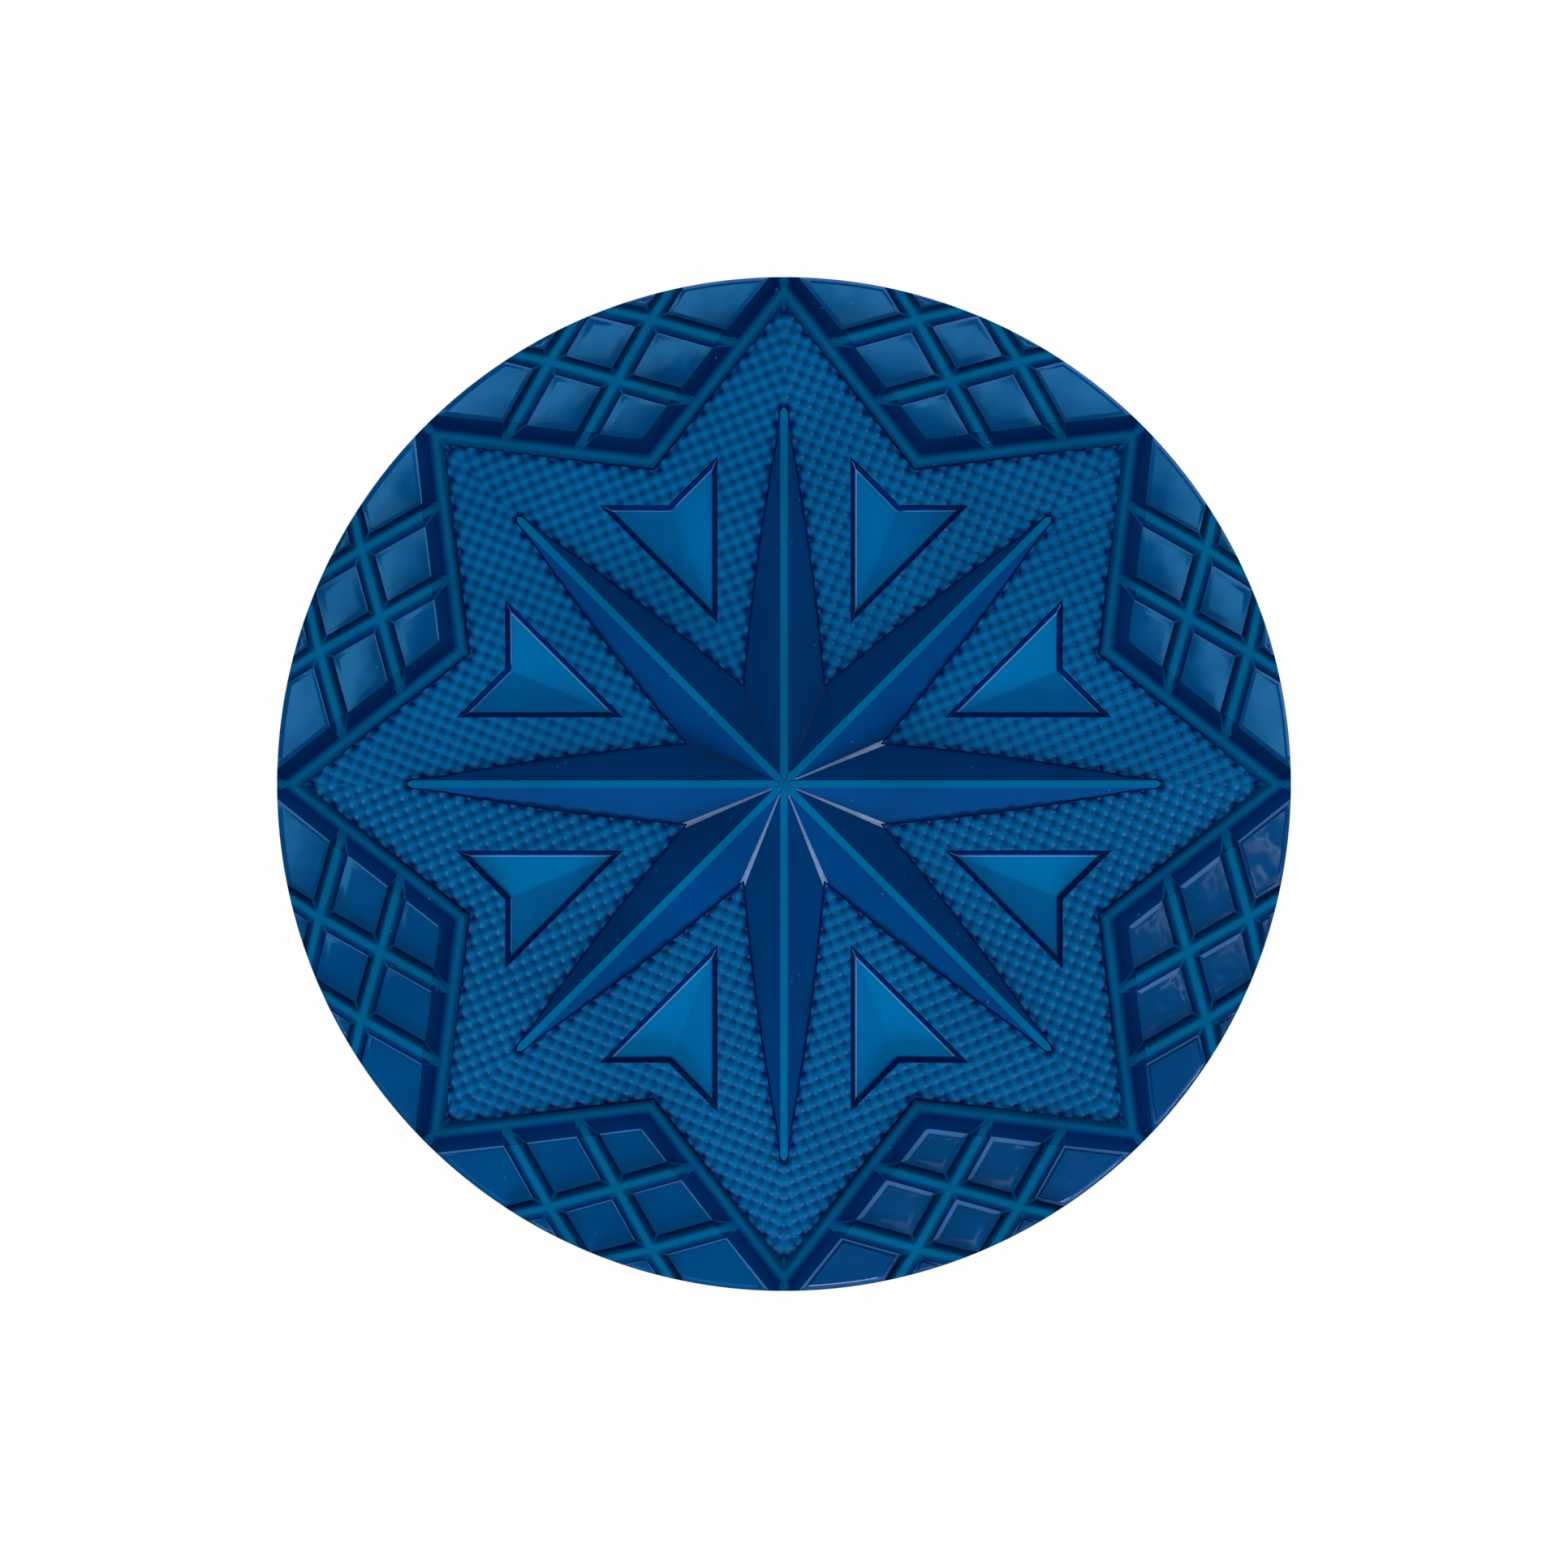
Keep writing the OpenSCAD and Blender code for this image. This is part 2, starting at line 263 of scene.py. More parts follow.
def makePaintedSlopeShade():
    # Painted shade by slope: flats are painted light, as if light came through them, and slopes and walls
    # are painted dark
    group = bpy.data.node_groups.new("paintedSlopeShade", "ShaderNodeTree")
    addSocket(group, "Flat Color", "NodeSocketColor", "INPUT", (0, 0.1, 0.25, 1))
    addSocket(group, "Slope Color", "NodeSocketColor", "INPUT", (0, 0.03, 0.15, 1))
    addSocket(group, "Wall Color", "NodeSocketColor", "INPUT", (0, 0.005, 0.05, 1))
    addSocket(group, "Slope Facing", "NodeSocketFloat", "INPUT", 0.9)
    addSocket(group, "Wall Facing", "NodeSocketFloat", "INPUT", 0.6)
    addSocket(group, "Cloud", "NodeSocketFloat", "INPUT", 0.12)
    addSocket(group, "Color", "NodeSocketColor", "OUTPUT")
    ins = addNode(group, "NodeGroupInput", (-900, 0))
    outs = addNode(group, "NodeGroupOutput", (700, 0))
    coord = addNode(group, "ShaderNodeTexCoord", (-900, 320))
    split = addNode(group, "ShaderNodeSeparateXYZ", (-700, 320))
    group.links.new(coord.outputs["Normal"], split.inputs[0])
    facing = addNode(group, "ShaderNodeMath", (-520, 320), operation="ABSOLUTE")
    group.links.new(split.outputs["Y"], facing.inputs[0])
    slope = mapRange(group, (-320, 320), facing.outputs[0], shading["flatFacing"],
                     ins.outputs["Slope Facing"])
    wall = mapRange(group, (-320, 120), facing.outputs[0], ins.outputs["Slope Facing"],
                    ins.outputs["Wall Facing"])
    body = mixColor(group, (-80, 200), slope, ins.outputs["Flat Color"], ins.outputs["Slope Color"])
    wallShade = mixColor(group, (120, 200), wall, body, ins.outputs["Wall Color"])
    cloud = addNode(group, "ShaderNodeTexNoise", (-320, -160), noise_dimensions="3D")
    cloud.inputs["Scale"].default_value = shading["cloudScale"]
    cloud.inputs["Detail"].default_value = shading["cloudDetail"]
    group.links.new(coord.outputs["Object"], cloud.inputs["Vector"])
    low = addNode(group, "ShaderNodeMath", (-80, -60), operation="SUBTRACT")
    low.inputs[0].default_value = 1
    group.links.new(ins.outputs["Cloud"], low.inputs[1])
    high = addNode(group, "ShaderNodeMath", (-80, -220), operation="ADD")
    high.inputs[0].default_value = 1
    group.links.new(ins.outputs["Cloud"], high.inputs[1])
    shade = mapRange(group, (120, -120), cloud.outputs["Fac"], *shading["noiseBand"], low.outputs[0],
                     high.outputs[0])
    tinted = mixColor(group, (420, 60), 1.0, wallShade, shade, "MULTIPLY")
    group.links.new(tinted, outs.inputs["Color"])
    return group


def makeCastMarks():
    # Marks of a cast surface: fine specks, uneven gloss, and slow waves
    group = bpy.data.node_groups.new("castMarks", "ShaderNodeTree")
    addSocket(group, "Speck Density", "NodeSocketFloat", "INPUT", 0.5)
    addSocket(group, "Speck Scale", "NodeSocketFloat", "INPUT", 900)
    addSocket(group, "Wave Scale", "NodeSocketFloat", "INPUT", 160)
    addSocket(group, "Gloss Low", "NodeSocketFloat", "INPUT", 0.1)
    addSocket(group, "Gloss High", "NodeSocketFloat", "INPUT", 0.2)
    addSocket(group, "Specks", "NodeSocketFloat", "OUTPUT")
    addSocket(group, "Roughness", "NodeSocketFloat", "OUTPUT")
    addSocket(group, "Height", "NodeSocketFloat", "OUTPUT")
    ins = addNode(group, "NodeGroupInput", (-900, 0))
    outs = addNode(group, "NodeGroupOutput", (600, 0))
    coord = addNode(group, "ShaderNodeTexCoord", (-900, 300))
    cells = addNode(group, "ShaderNodeTexVoronoi", (-640, 320), feature="F1")
    group.links.new(coord.outputs["Object"], cells.inputs["Vector"])
    group.links.new(ins.outputs["Speck Scale"], cells.inputs["Scale"])
    dot = mapRange(group, (-420, 400), cells.outputs["Distance"], *shading["speckEdge"], 1.0, 0.0)
    pick = addNode(group, "ShaderNodeSeparateColor", (-420, 200))
    group.links.new(cells.outputs["Color"], pick.inputs[0])
    chosen = addNode(group, "ShaderNodeMath", (-220, 200), operation="LESS_THAN")
    group.links.new(pick.outputs[0], chosen.inputs[0])
    group.links.new(ins.outputs["Speck Density"], chosen.inputs[1])
    specks = addNode(group, "ShaderNodeMath", (-20, 300), operation="MULTIPLY")
    group.links.new(dot, specks.inputs[0])
    group.links.new(chosen.outputs[0], specks.inputs[1])
    wave = addNode(group, "ShaderNodeTexNoise", (-640, -120), noise_dimensions="3D")
    wave.inputs["Detail"].default_value = shading["waveDetail"]
    group.links.new(coord.outputs["Object"], wave.inputs["Vector"])
    group.links.new(ins.outputs["Wave Scale"], wave.inputs["Scale"])
    gloss = mapRange(group, (-220, -120), wave.outputs["Fac"], *shading["noiseBand"],
                     ins.outputs["Gloss Low"], ins.outputs["Gloss High"])
    group.links.new(specks.outputs[0], outs.inputs["Specks"])
    group.links.new(gloss, outs.inputs["Roughness"])
    group.links.new(wave.outputs["Fac"], outs.inputs["Height"])
    return group


def makeSoftNormal():
    # Light spreads inside deep glass, so a slope is lit more like the face around it
    group = bpy.data.node_groups.new("softNormal", "ShaderNodeTree")
    addSocket(group, "Spread", "NodeSocketFloat", "INPUT", 0.5)
    addSocket(group, "Normal", "NodeSocketVector", "OUTPUT")
    ins = addNode(group, "NodeGroupInput", (-900, 0))
    outs = addNode(group, "NodeGroupOutput", (500, 0))
    coord = addNode(group, "ShaderNodeTexCoord", (-900, 300))
    split = addNode(group, "ShaderNodeSeparateXYZ", (-700, 120))
    group.links.new(coord.outputs["Normal"], split.inputs[0])
    facing = addNode(group, "ShaderNodeMath", (-520, 120), operation="MULTIPLY")
    group.links.new(split.outputs["Y"], facing.inputs[0])
    facing.inputs[1].default_value = -1
    amount = mapRange(group, (-320, 60), facing.outputs[0], *shading["frontFacing"], 0.0,
                      ins.outputs["Spread"])
    lean = addNode(group, "ShaderNodeMix", (-100, 200), data_type="VECTOR")
    group.links.new(amount, lean.inputs[0])
    group.links.new(coord.outputs["Normal"], lean.inputs[4])
    lean.inputs[5].default_value = towardsViewer
    unit = addNode(group, "ShaderNodeVectorMath", (100, 200), operation="NORMALIZE")
    group.links.new(lean.outputs[1], unit.inputs[0])
    turned = addNode(group, "ShaderNodeVectorTransform", (300, 200), vector_type="NORMAL",
                     convert_from="OBJECT", convert_to="WORLD")
    group.links.new(unit.outputs[0], turned.inputs[0])
    group.links.new(turned.outputs[0], outs.inputs["Normal"])
    return group


paintedSlopeShade = makePaintedSlopeShade()
castMarks = makeCastMarks()
softNormal = makeSoftNormal()


def makeGlass(name, look):
    material = bpy.data.materials.new(name)
    material.use_nodes = True
    tree = material.node_tree
    shader = tree.nodes["Principled BSDF"]
    # Painted shade: slopes and walls are painted darker than flats
    depth = addNode(tree, "ShaderNodeGroup", (-700, 200), node_tree=paintedSlopeShade)
    setInputs(depth, {"Flat Color": look["flat"], "Slope Color": look["slope"], "Wall Color": look["wall"],
                      "Slope Facing": look["slopeFacing"], "Wall Facing": look["wallFacing"],
                      "Cloud": look["cloud"]})
    # Where a piece carries painted shade per corner, it picks between the two shade colours
    if "toneColors" in look:
        tone = addNode(tree, "ShaderNodeAttribute", (-1200, 300), attribute_name="paintedShade")
        facet = mixColor(tree, (-980, 300), tone.outputs["Fac"], *look["toneColors"])
        tree.links.new(facet, depth.inputs["Flat Color"])
    marks = addNode(tree, "ShaderNodeGroup", (-700, -160), node_tree=castMarks)
    setInputs(marks, {"Speck Density": look["specks"], "Wave Scale": look["waveScale"],
                      "Gloss Low": look["gloss"][0], "Gloss High": look["gloss"][1]})
    speckled = mixColor(tree, (-420, 200), marks.outputs["Specks"], depth.outputs["Color"],
                        look["speckColor"])
    tree.links.new(speckled, shader.inputs["Base Color"])
    tree.links.new(marks.outputs["Roughness"], shader.inputs["Roughness"])
    bump = addNode(tree, "ShaderNodeBump", (-420, -260))
    setInputs(bump, {"Strength": look["bump"], "Distance": shading["waveHeight"]})
    tree.links.new(marks.outputs["Height"], bump.inputs["Height"])
    if look["spread"] > 0:
        soft = addNode(tree, "ShaderNodeGroup", (-700, -480), node_tree=softNormal)
        soft.inputs["Spread"].default_value = look["spread"]
        tree.links.new(soft.outputs["Normal"], bump.inputs["Normal"])
    tree.links.new(bump.outputs["Normal"], shader.inputs["Normal"])
    setInputs(shader, {"Specular IOR Level": look["specular"], "Specular Tint": look["shine"],
                       "IOR": shading["glassIor"], "Emission Color": look["glow"], "Emission Strength": 1})
    return material


def glassLook(**changes):
    # Flat, slope and wall colours: slopes and walls get painted shade
    look = {"flat": rgb(0, 82, 130), "slope": rgb(0, 42, 104), "wall": rgb(0, 14, 66),
            "slopeFacing": 0.88, "wallFacing": 0.55, "cloud": 0.08, "specks": 0.02,
            "speckColor": rgb(40, 100, 150), "waveScale": 160, "gloss": (0.1, 0.2),
            "bump": 0.06, "spread": 0.0, "specular": 0.1, "shine": (0.1, 0.45, 1, 1), "glow": (0, 0, 0, 1)}
    look.update(changes)
    return look


plateGlass = makeGlass("plateGlass", glassLook(flat=rgb(0, 66, 118), slope=rgb(0, 50, 110)))
# Plate front, seen in the grooves between the inlays: a painted glow
grooveGlowGlass = makeGlass("grooveGlowGlass", glassLook(
    flat=rgb(0, 24, 78), slope=rgb(0, 20, 70), specular=0.03, glow=rgb(0, 18, 64)))
# Bead colours: painted shade in the valleys, light on the tops
fieldGlass = makeGlass("fieldGlass", glassLook(
    toneColors=(rgb(0, 18, 76), rgb(0, 95, 151)), slope=rgb(0, 74, 130), wall=rgb(0, 30, 86),
    slopeFacing=0.8, wallFacing=0.3, spread=0.25, gloss=(0.12, 0.18), specular=0.07,
    shine=(0.4, 0.68, 1, 1)))
# Border colours: painted light on the crest and painted shade down the slopes and rib sides
borderShades = (rgb(0, 28, 82), rgb(0, 81, 128))
borderGlass = makeGlass("borderGlass", glassLook(
    toneColors=borderShades, slope=rgb(0, 64, 114), wall=rgb(0, 38, 92), slopeFacing=0.7, wallFacing=0.3,
    spread=0.9, specular=0.03))
slopeShadeGlass = makeGlass("slopeShadeGlass", glassLook(
    toneColors=borderShades, slope=rgb(0, 28, 82), wall=rgb(0, 28, 82), slopeFacing=0.3, wallFacing=0.1,
    spread=0.9, specular=0.03))
ribSideShadeGlass = makeGlass("ribSideShadeGlass", glassLook(
    toneColors=borderShades, slope=rgb(0, 36, 90), wall=rgb(0, 28, 82), slopeFacing=0.7, wallFacing=0.5,
    spread=0.9, specular=0.03))
rayGlass = makeGlass("rayGlass", glassLook(
    flat=rgb(0, 94, 144), slope=rgb(0, 56, 112), specks=0.06, specular=0.012, shine=(0, 0.4, 1, 1)))
joinGlass = makeGlass("joinGlass", glassLook(
    flat=rgb(0, 44, 98), slope=rgb(0, 38, 92), specular=0.62, gloss=(0.16, 0.24), shine=(0.55, 0.75, 1, 1)))
# Arrowhead facet colours for painted shade, lighter where a facet tilts down
arrowGlass = makeGlass("arrowGlass", glassLook(
    toneColors=(rgb(0, 86, 146), rgb(0, 108, 168)), slope=rgb(0, 50, 110), wall=rgb(0, 30, 88), spread=0.6,
    specular=0.05))
# Painted highlight on the arrowheads' lips
lipHighlightGlass = makeGlass("lipHighlightGlass", glassLook(
    flat=rgb(80, 136, 190), slope=rgb(80, 132, 188), wall=rgb(30, 90, 150), spread=0.8, specular=0.1))
latticeGlass = makeGlass("latticeGlass", glassLook(
    flat=rgb(0, 90, 136), slope=rgb(0, 66, 116), wall=rgb(0, 38, 92), slopeFacing=0.7, wallFacing=0.3,
    spread=0.9, specular=0.03))
paneGlass = makeGlass("paneGlass", glassLook(
    flat=rgb(0, 70, 126), slope=rgb(0, 60, 118), gloss=(0.06, 0.14), spread=0.4, specular=0.6,
    shine=(0.1, 0.55, 1, 1)))
# Painted highlight on the panes' lip rings
brimHighlightGlass = makeGlass("brimHighlightGlass", glassLook(
    flat=rgb(58, 104, 162), slope=rgb(58, 104, 162), wall=rgb(30, 74, 134), spread=0.8))
waveGlass = makeGlass("waveGlass", glassLook(
    flat=rgb(0, 66, 120), slope=rgb(0, 52, 110), gloss=(0.1, 0.2), bump=0.9, waveScale=150, specular=0.4,
    shine=(0.5, 0.68, 1, 1)))


def makeSurfaceGrain():
    # Fine grain for the parts behind: shade, roughness and height from one stretched noise
    group = bpy.data.node_groups.new("surfaceGrain", "ShaderNodeTree")
    addSocket(group, "Stretch", "NodeSocketVector", "INPUT", (1, 1, 1))
    addSocket(group, "Scale", "NodeSocketFloat", "INPUT", 800)
    addSocket(group, "Dark Color", "NodeSocketColor", "INPUT", (0.1, 0.1, 0.1, 1))
    addSocket(group, "Light Color", "NodeSocketColor", "INPUT", (0.3, 0.3, 0.3, 1))
    addSocket(group, "Rough Low", "NodeSocketFloat", "INPUT", 0.4)
    addSocket(group, "Rough High", "NodeSocketFloat", "INPUT", 0.6)
    addSocket(group, "Color", "NodeSocketColor", "OUTPUT")
    addSocket(group, "Roughness", "NodeSocketFloat", "OUTPUT")
    addSocket(group, "Height", "NodeSocketFloat", "OUTPUT")
    ins = addNode(group, "NodeGroupInput", (-900, 0))
    outs = addNode(group, "NodeGroupOutput", (500, 0))
    coord = addNode(group, "ShaderNodeTexCoord", (-900, 300))
    spread = addNode(group, "ShaderNodeVectorMath", (-680, 240), operation="MULTIPLY")
    group.links.new(coord.outputs["Object"], spread.inputs[0])
    group.links.new(ins.outputs["Stretch"], spread.inputs[1])
    grain = addNode(group, "ShaderNodeTexNoise", (-460, 200), noise_dimensions="3D")
    grain.inputs["Detail"].default_value = shading["grainDetail"]
    group.links.new(spread.outputs[0], grain.inputs["Vector"])
    group.links.new(ins.outputs["Scale"], grain.inputs["Scale"])
    shade = mapRange(group, (-220, 300), grain.outputs["Fac"], *shading["noiseBand"])
    mixed = mixColor(group, (40, 260), shade, ins.outputs["Dark Color"], ins.outputs["Light Color"])
    group.links.new(mixed, outs.inputs["Color"])
    rough = mapRange(group, (-220, 0), grain.outputs["Fac"], *shading["noiseBand"],
                     ins.outputs["Rough Low"], ins.outputs["Rough High"])
    group.links.new(rough, outs.inputs["Roughness"])
    group.links.new(grain.outputs["Fac"], outs.inputs["Height"])
    return group


surfaceGrain = makeSurfaceGrain()


def makeGrained(name, look):
    material = bpy.data.materials.new(name)
    material.use_nodes = True
    tree = material.node_tree
    shader = tree.nodes["Principled BSDF"]
    grain = addNode(tree, "ShaderNodeGroup", (-640, 100), node_tree=surfaceGrain)
    setInputs(grain, {"Stretch": look["stretch"], "Scale": look["scale"], "Dark Color": look["dark"],
                      "Light Color": look["light"], "Rough Low": look["rough"][0],
                      "Rough High": look["rough"][1]})
    tree.links.new(grain.outputs["Color"], shader.inputs["Base Color"])
    tree.links.new(grain.outputs["Roughness"], shader.inputs["Roughness"])
    bump = addNode(tree, "ShaderNodeBump", (-360, -200))
    setInputs(bump, {"Strength": look["bump"], "Distance": shading["grainHeight"]})
    tree.links.new(grain.outputs["Height"], bump.inputs["Height"])
    tree.links.new(bump.outputs["Normal"], shader.inputs["Normal"])
    shader.inputs["Metallic"].default_value = look["metallic"]
    return material


padFoam = makeGrained("padFoam", {
    "stretch": (1, 1, 1), "scale": 2600, "dark": rgb(150, 150, 148), "light": rgb(214, 214, 210),
    "rough": (0.8, 0.95), "bump": 0.7, "metallic": 0.0})
hangerSteel = makeGrained("hangerSteel", {
    "stretch": (0.06, 1, 1), "scale": 5200, "dark": rgb(158, 160, 163), "light": rgb(196, 198, 200),
    "rough": (0.24, 0.4), "bump": 0.12, "metallic": 1.0})
bumperRubber = makeGrained("bumperRubber", {
    "stretch": (1, 1, 1), "scale": 1800, "dark": rgb(34, 35, 37), "light": rgb(54, 55, 57),
    "rough": (0.5, 0.7), "bump": 0.25, "metallic": 0.0})
print("materials made")

# Back plate: a round blank with a softened rim
plateSizes = {"segments": 192, "rimRound": 0.6 * mm, "rimSegments": 4, "frontFacing": -0.9}


def makePlate():
    bm = bmesh.new()
    bmesh.ops.create_circle(bm, cap_ends=True, segments=plateSizes["segments"], radius=rimRadius)
    grown = bmesh.ops.extrude_face_region(bm, geom=bm.faces[:])
    raised = [v for v in grown["geom"] if isinstance(v, bmesh.types.BMVert)]
    bmesh.ops.translate(bm, verts=raised, vec=(0, 0, plateBack - plateFront))
    bmesh.ops.recalc_face_normals(bm, faces=bm.faces)
    backEdges = [e for e in softEdges(bm) if all(v.co.z < mesher["merge"] for v in e.verts)]
    roundEdges(bm, backEdges, plateSizes["rimRound"], plateSizes["rimSegments"])
    bmesh.ops.transform(bm, matrix=standUp(plateBack), verts=bm.verts)
    bm.normal_update()
    # The front face, seen in the gaps between the inlays, gets the groove glass with its painted glow
    for face in bm.faces:
        face.material_index = 1 if face.normal.y < plateSizes["frontFacing"] else 0
    return makePiece(bm, "backPlate", [plateGlass, grooveGlowGlass], "medallion", ["back_plate"])


makePlate()
print("back plate made")

# Star border: a round crest with a steep inner side, painted light on top with painted shade growing down
# the outer slope
borderSizes = {"tiny": 0.04 * mm, "round": 0.5 * mm, "segments": 4, "innerSteep": 0.2 * mm,
               "slopeFacing": (0.8, 0.93), "ribFacing": (0.5, 0.7), "ribTurn": 0.9,
               "crestOut": 1.55 * mm, "slopeFade": (-0.4 * mm, 1.0 * mm), "slopeEnd": 2.95 * mm,
               "footShade": 0.2, "ribStart": 0.56 * mm, "ribShade": 0.8}


def flatWay(normal):
    # The direction a slope faces within the face of the medallion
    return Vector((normal.x, 0, normal.z)).normalized()


def halfSector(point):
    # Which of the sixteen half corners a point lies in
    turn = math.atan2(point.x - middleX, point.z - middleZ) % (2 * math.pi)
    return int(turn / (stepAngle / 2)) % (2 * points)


def smoothStep(low, high, value):
    share = min(1, max(0, (value - low) / (high - low)))
    return share * share * (3 - 2 * share)


def makeBorder():
    bm = copyNode("star_border")
    bmesh.ops.remove_doubles(bm, verts=bm.verts, dist=borderSizes["tiny"])
    bm.normal_update()
    inner = [f for f in bm.faces if isUpright(f) and f.normal.dot(f.verts[0].co - middle) < 0]
    ways = {halfSector(f.calc_center_median()): -f.normal for f in inner}
    crest = borderSizes["crestOut"] - inner[0].normal.dot(inner[0].verts[0].co - middle)
    spreadWalls(inner, -borderSizes["innerSteep"])
    bm.normal_update()
    for face in bm.faces:
        lean = -face.normal.y
        if borderSizes["slopeFacing"][0] < lean < borderSizes["slopeFacing"][1]:
            face.material_index = 1
        elif borderSizes["ribFacing"][0] < lean < borderSizes["ribFacing"][1]:
            way = ways[halfSector(face.calc_center_median())]
            face.material_index = 2 if abs(way.dot(flatWay(face.normal))) < borderSizes["ribTurn"] else 0
        else:
            face.material_index = 0
    roundEdges(bm, softEdges(bm, inFront), borderSizes["round"], borderSizes["segments"])
    finishRim(bm)
    ribEnds = {v for f in bm.faces if f.material_index == 2 for v in f.verts}
    # Painted shade: light on the crest, darker down the outer slope, a little lighter again towards the
    # foot, with the rib ends kept light
    tone = bm.loops.layers.float_color.new("paintedShade")
    for face in bm.faces:
        for loop in face.loops:
            out = ways[halfSector(loop.vert.co)].dot(loop.vert.co - middle) - crest
            down = min(1, max(0, out / borderSizes["slopeEnd"]))
            shade = 1 - smoothStep(*borderSizes["slopeFade"], out)
            if face.material_index == 1:
                shade = max(shade, borderSizes["footShade"] * down ** 2)
            elif out > borderSizes["ribStart"] or loop.vert in ribEnds:
                shade = max(shade, borderSizes["ribShade"] + (1 - borderSizes["ribShade"]) * down)
            loop[tone] = (shade, shade, shade, 1)
    return makePiece(bm, "starBorder", [borderGlass, slopeShadeGlass, ribSideShadeGlass], "medallion",
                     ["star_border"])


makeBorder()
print("star border made")

# Star field: hobnail beads in rows along each corner's middle line, mirrored at the seams
beadSizes = {"pitch": 1.82 * mm, "rowStart": 1.37 * mm, "steps": 6, "height": 0.44 * mm, "swell": 0.75,
             "valleyShade": 0.27, "wallShadeReach": 1.1 * mm, "slotNear": 7 * mm, "slotClear": 0.12 * mm,
             "slotEnd": 0.3 * mm, "slotHalf": 0.68 * mm, "slotRoom": 0.1 * mm, "prismExtra": 1 * mm,
             "probeRise": 5 * mm, "seamBand": 0.01 * mm, "seamMerge": 0.025 * mm}


def keepInside(shape, cutter):
    # The part of one closed shape that lies inside another
    pair = []
    for name, bm in (("beadSheet", shape), ("fieldPrism", cutter)):
        mesh = bpy.data.meshes.new(name)
        bm.to_mesh(mesh)
        bm.free()
        pair.append(bpy.data.objects.new(name, mesh))
        bpy.context.scene.collection.objects.link(pair[-1])
    trim = pair[0].modifiers.new("trim", "BOOLEAN")
    trim.operation = "INTERSECT"
    trim.object = pair[1]
    made = bmesh.new()
    made.from_object(pair[0], bpy.context.evaluated_depsgraph_get())
    for obj in pair:
        mesh = obj.data
        bpy.data.objects.remove(obj)
        bpy.data.meshes.remove(mesh)
    return inFixedOrder(made)


def outerWalls(bm):
    # The sixteen walls along the border all lie at one distance from the middle
    away = {f: f.normal.dot(f.verts[0].co - middle) for f in bm.faces if isUpright(f)}
    return [f for f in away if away[f] > max(away.values()) - mesher["rimBand"]]


def shadedWalls(bm):
    # Walls along the border and along the rays, where painted shade darkens the beads' valleys
    sideways = [outward(i * stepAngle + math.pi / 2) for i in range(points)]

    def offRay(face):
        return min(abs((face.calc_center_median() - middle).dot(way)) for way in sideways)
    slots = [f for f in bm.faces if isUpright(f) and offRay(f) < beadSizes["slotNear"]]
    return slots + outerWalls(bm)


def makePrism():
    # The field's outline, taller than the beads and grown to meet the border
    bm = copyNode("star_field")
    outer = outerWalls(bm)
    spreadWalls([f for f in bm.faces if isUpright(f) and f not in outer], -beadSizes["slotClear"])
    spreadWalls(outer, borderSizes["innerSteep"] + mesher["touch"])
    for i in range(points):
        along, across = outward(i * stepAngle), outward(i * stepAngle + math.pi / 2)
        end = min(bm.verts, key=lambda v: (v.co - middle - along * rayReach).xz.length)
        sides = [f for f in end.link_faces if isUpright(f)]
        near = dict.fromkeys(part for f in sides for part in (f, *f.edges, *f.verts))
        cut = bmesh.ops.bisect_plane(bm, geom=list(near), dist=mesher["merge"], plane_no=along,
                                     plane_co=middle + along * (rayReach - beadSizes["slotEnd"]))
        atEnd = [v for e in end.link_edges for v in e.verts if (v.co - end.co).xz.length < mesher["touch"]]
        for vert in atEnd:
            vert.co.x, vert.co.z = (middle + along * (rayReach + beadSizes["slotRoom"])).xz
        for vert in [v for v in cut["geom_cut"] if isinstance(v, bmesh.types.BMVert)]:
            side = (vert.co - middle).dot(across)
            vert.co += across * (math.copysign(beadSizes["slotHalf"], side) - side)
    for vert in bm.verts:
        isTop = vert.co.y < (fieldTop + plateFront) / 2
        vert.co.y += -beadSizes["prismExtra"] if isTop else beadSizes["prismExtra"]
    bm.normal_update()
    return bm


def makeBeadCorner():
    prism = makePrism()
    outline = BVHTree.FromBMesh(prism)
    turn = stepAngle / 2
    along, across = outward(turn), outward(turn + math.pi / 2)
    pitch = beadSizes["pitch"]
    rows = math.ceil(rimRadius / pitch)
    columns = math.ceil(rows * math.tan(stepAngle / 2))
    sheet = bmesh.new()
    bmesh.ops.create_grid(sheet, x_segments=2 * columns * beadSizes["steps"],
                          y_segments=rows * beadSizes["steps"], size=1)
    spare = set()
    for vert in sheet.verts:
        u = vert.co.x * columns * pitch
        v = beadSizes["rowStart"] + ((vert.co.y + 1) / 2 * rows - 1) * pitch
        swell = (2 + math.cos(2 * math.pi * u / pitch)
                 + math.cos(2 * math.pi * (v - beadSizes["rowStart"]) / pitch)) / 4
        place = middle + across * u + along * v
        vert.co = (place.x, fieldTop - beadSizes["height"] * swell ** beadSizes["swell"], place.z)
        probe = Vector((place.x, fieldTop - beadSizes["probeRise"], place.z))
        hit = outline.ray_cast(probe, -towardsViewer)[0]
        if hit is None or hit.y > fieldTop:
            spare.add(vert)
    bmesh.ops.delete(sheet, geom=[f for f in sheet.faces if spare.issuperset(f.verts)], context="FACES")
    for side in (-1, 1):
        bmesh.ops.bisect_plane(sheet, geom=sheet.verts[:] + sheet.edges[:] + sheet.faces[:],
                               dist=mesher["merge"], plane_co=middle,
                               plane_no=outward(turn + side * (turn + math.pi / 2)), clear_outer=True)
    grown = bmesh.ops.extrude_face_region(sheet, geom=sheet.faces[:], use_keep_orig=True)
    for vert in grown["geom"]:
        if isinstance(vert, bmesh.types.BMVert):
            vert.co.y = plateFront
    bmesh.ops.recalc_face_normals(sheet, faces=sheet.faces)
    return keepInside(sheet, prism)


